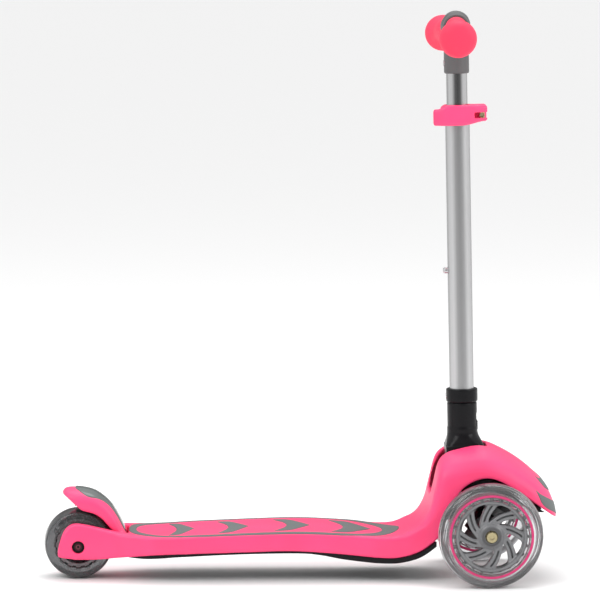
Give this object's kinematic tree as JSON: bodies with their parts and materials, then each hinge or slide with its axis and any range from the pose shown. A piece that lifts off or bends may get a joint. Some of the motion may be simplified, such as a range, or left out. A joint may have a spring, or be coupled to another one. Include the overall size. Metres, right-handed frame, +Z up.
{
  "type": "kick scooter",
  "caption": "Child's three-wheel folding kick scooter with a lean-steered front truck, height-adjustable stem, grippy deck inlays and a rear foot brake.",
  "frame": {"origin": "on the ground, under the middle of the bounding box, with all three wheels standing on Z = 0", "axes": "+X forward, the way it rides; +Y the rider's left; +Z up"},
  "size_m": [0.592, 0.2654, 0.6504],
  "materials": {
    "pink_plastic": "satin pink injection moulding",
    "pink_grip": "soft matt coral pink rubber",
    "pink_ring": "gloss pink ring inside the clear tyre",
    "grey_rubber": "soft matt grey overmoulding",
    "grey_plastic": "satin grey moulding",
    "core_grey": "gloss silver grey moulding",
    "black_plastic": "satin black glass-filled nylon",
    "clear_tyre": "clear smoky cast urethane",
    "smoke_tyre": "smoky grey cast urethane",
    "urethane": "moulded urethane bushing",
    "alu_tube": "satin anodised silver",
    "steel": "zinc plated",
    "brass": "yellow passivated steel"
  },
  "bodies": {
    "deck": {"deck_body": "pink_plastic", "deck_inlay": "grey_rubber", "nose_inlay": "grey_rubber", "under_cover": "black_plastic", "cover_screws": "steel", "arch_liner": "black_plastic", "front_bracket": "black_plastic", "bracket_screws": "steel", "lock_plate": "steel", "fold_pin": "steel", "fold_pin_nut": "steel", "kingpin": "steel", "kingpin_nut": "steel", "upper_bushing": "urethane", "lower_bushing": "urethane", "rear_axle": "steel", "rear_axle_nut": "steel", "rear_spacers": "steel", "brake_pin": "steel", "brake_spring": "steel"},
    "truck": {"truck": "black_plastic", "front_axle_bolts": "brass", "front_spacers": "steel"},
    "wheel_front_left": {"core_front_left": "core_grey", "tyre_front_left": "clear_tyre", "ring_front_left": "pink_ring", "bearings_front_left": "steel"},
    "wheel_front_right": {"core_front_right": "core_grey", "tyre_front_right": "clear_tyre", "ring_front_right": "pink_ring", "bearings_front_right": "steel"},
    "wheel_rear": {"core_rear": "black_plastic", "tyre_rear": "smoke_tyre", "bearings_rear": "steel"},
    "brake": {"brake_fender": "pink_plastic", "brake_overlay": "grey_rubber", "brake_pad": "black_plastic"},
    "stem": {"neck": "black_plastic", "neck_screw": "steel", "outer_tube": "alu_tube", "tube_bushing": "black_plastic", "clamp_collar": "pink_plastic", "clamp_bolt": "brass", "clamp_nut": "brass", "clamp_barrel": "brass", "latch_spring": "steel", "button_spring": "steel"},
    "lever": {"clamp_lever": "pink_plastic"},
    "latch": {"fold_latch": "steel", "latch_slider": "black_plastic"},
    "button": {"height_button": "steel"},
    "handlebar": {"inner_tube": "alu_tube", "tee": "grey_plastic", "tee_screw": "steel", "bar_tubes": "steel", "grip_left": "pink_grip", "grip_right": "pink_grip"}
  },
  "joints": [
    {"name": "lean_steer", "type": "hinge", "parent": "deck", "child": "truck", "pos_m": [0.213, 0, 0.06], "axis": [0.5736, 0, 0.8192], "range_deg": [-10, 10], "stiffness_Nm_per_rad": 15},
    {"name": "front_left_spin", "type": "hinge", "parent": "truck", "child": "wheel_front_left", "pos_m": [0.213, 0.092, 0.06], "axis": [0, 1, 0], "continuous": true},
    {"name": "front_right_spin", "type": "hinge", "parent": "truck", "child": "wheel_front_right", "pos_m": [0.213, -0.092, 0.06], "axis": [0, 1, 0], "continuous": true},
    {"name": "rear_spin", "type": "hinge", "parent": "deck", "child": "wheel_rear", "pos_m": [-0.256, 0, 0.04], "axis": [0, 1, 0], "continuous": true},
    {"name": "brake_press", "type": "hinge", "parent": "deck", "child": "brake", "pos_m": [-0.206, 0, 0.05], "axis": [0, -1, 0], "range_deg": [0, 4.5], "stiffness_Nm_per_rad": 2, "springref_deg": -8.59},
    {"name": "handlebar_fold", "type": "hinge", "parent": "deck", "child": "stem", "pos_m": [0.18593, 0, 0.12593], "axis": [0, -1, 0], "range_deg": [0, 80]},
    {"name": "latch_slide", "type": "slide", "parent": "stem", "child": "latch", "axis": [-0.0204, 0, 0.9998], "range_m": [0, 0.006], "stiffness_N_per_m": 400, "springref_m": -0.004, "deforming": ["latch_spring"]},
    {"name": "clamp_lever_open", "type": "hinge", "parent": "stem", "child": "lever", "pos_m": [0.20662, -0.0155, 0.53319], "axis": [-0.0204, 0, 0.9998], "range_deg": [0, 110]},
    {"name": "height_slide", "type": "slide", "parent": "stem", "child": "handlebar", "axis": [-0.0204, 0, 0.9998], "range_m": [0, 0.1]},
    {"name": "button_press", "type": "slide", "parent": "stem", "child": "button", "axis": [0.9998, 0, 0.0204], "range_m": [0, 0.005], "stiffness_N_per_m": 500, "springref_m": -0.003, "deforming": ["button_spring"]}
  ]
}
